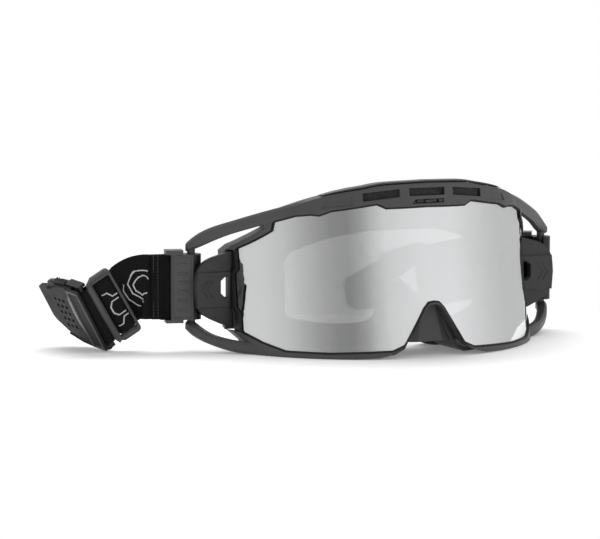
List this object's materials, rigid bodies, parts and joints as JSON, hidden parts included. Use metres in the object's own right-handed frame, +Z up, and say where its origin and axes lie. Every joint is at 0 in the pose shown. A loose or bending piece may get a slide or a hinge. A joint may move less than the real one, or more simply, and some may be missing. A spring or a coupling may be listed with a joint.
{
  "type": "motorcycle goggles",
  "caption": "Wide goggles with a bowed mirror lens, vented brow bar, side latches, outrigger loops, foam face seal and a strap with swivelling clips and a quick-release buckle.",
  "frame": {"origin": "on the mid-plane of the goggles, on the surface that the bottom rail stands on", "axes": "+X along the goggles' width towards the wearer's left side latch, -Y out of the lens's front, +Z up; -Z is the outward normal of the face it stands on"},
  "size_m": [0.2917, 0.1325, 0.0944],
  "materials": {
    "frame": "matte",
    "inner_frame": "matte",
    "hardware": "matte",
    "clip_black": "matte",
    "lock": "satin",
    "gasket": "matte",
    "mirror_lens": "gloss",
    "vent_mesh": "matte",
    "foam": "matte",
    "fleece": "matte",
    "webbing": "matte",
    "steel": "satin"
  },
  "bodies": {
    "goggle": {"front_frame": "frame", "lens": "mirror_lens", "lens_gasket": "gasket", "vent_foam": "vent_mesh", "brow_cover": "frame", "face_carrier": "inner_frame", "nose_guard": "inner_frame", "face_foam_base": "foam", "face_foam_core": "foam", "face_fleece": "fleece", "latch_pin_left": "steel", "latch_pin_right": "steel"},
    "lock": {"lens_lock_tab": "lock"},
    "side_latch_left": {"latch_left": "hardware"},
    "side_latch_right": {"latch_right": "hardware"},
    "strap_side_left": {"clip_body_left": "clip_black", "clip_cover_left": "hardware", "strap_left": "webbing", "strap_slider": "hardware", "buckle_frame": "clip_black", "buckle_plate": "hardware"},
    "squeeze_upper": {"squeeze_pad_upper": "hardware"},
    "squeeze_lower": {"squeeze_pad_lower": "hardware"},
    "strap_side_right": {"clip_body_right": "clip_black", "clip_cover_right": "hardware", "strap_right": "webbing", "buckle_receiver": "hardware"}
  },
  "joints": [
    {"name": "lock_slide", "type": "slide", "parent": "goggle", "child": "lock", "axis": [1, 0, 0], "range_m": [0, 0.0033]},
    {"name": "latch_left_hinge", "type": "hinge", "parent": "goggle", "child": "side_latch_left", "pos_m": [-0.102, 0.0316, 0.0335], "axis": [0, 0, -1], "range_deg": [0, 15]},
    {"name": "latch_right_hinge", "type": "hinge", "parent": "goggle", "child": "side_latch_right", "pos_m": [0.102, 0.0316, 0.0335], "axis": [0, 0, 1], "range_deg": [0, 15]},
    {"name": "clip_left_swivel", "type": "hinge", "parent": "goggle", "child": "strap_side_left", "pos_m": [-0.1079, 0.037, 0.035], "axis": [0, 0, -1], "range_deg": [-10, 105]},
    {"name": "clip_right_swivel", "type": "hinge", "parent": "goggle", "child": "strap_side_right", "pos_m": [0.1079, 0.037, 0.035], "axis": [0, 0, 1], "range_deg": [-135, 0]},
    {"name": "squeeze_upper_hinge", "type": "hinge", "parent": "strap_side_left", "child": "squeeze_upper", "pos_m": [-0.17048, 0.07699, 0.02968], "axis": [0.8376, 0.1262, 0.5316], "range_deg": [0, 5], "stiffness_Nm_per_rad": 0.05},
    {"name": "squeeze_lower_hinge", "type": "hinge", "parent": "strap_side_left", "child": "squeeze_lower", "pos_m": [-0.16136, 0.0803, 0.01452], "axis": [-0.8376, -0.1262, -0.5316], "range_deg": [0, 5], "stiffness_Nm_per_rad": 0.05}
  ],
  "couplings": [
    {"joint": "squeeze_lower_hinge", "follows": "squeeze_upper_hinge", "ratio": 1}
  ]
}
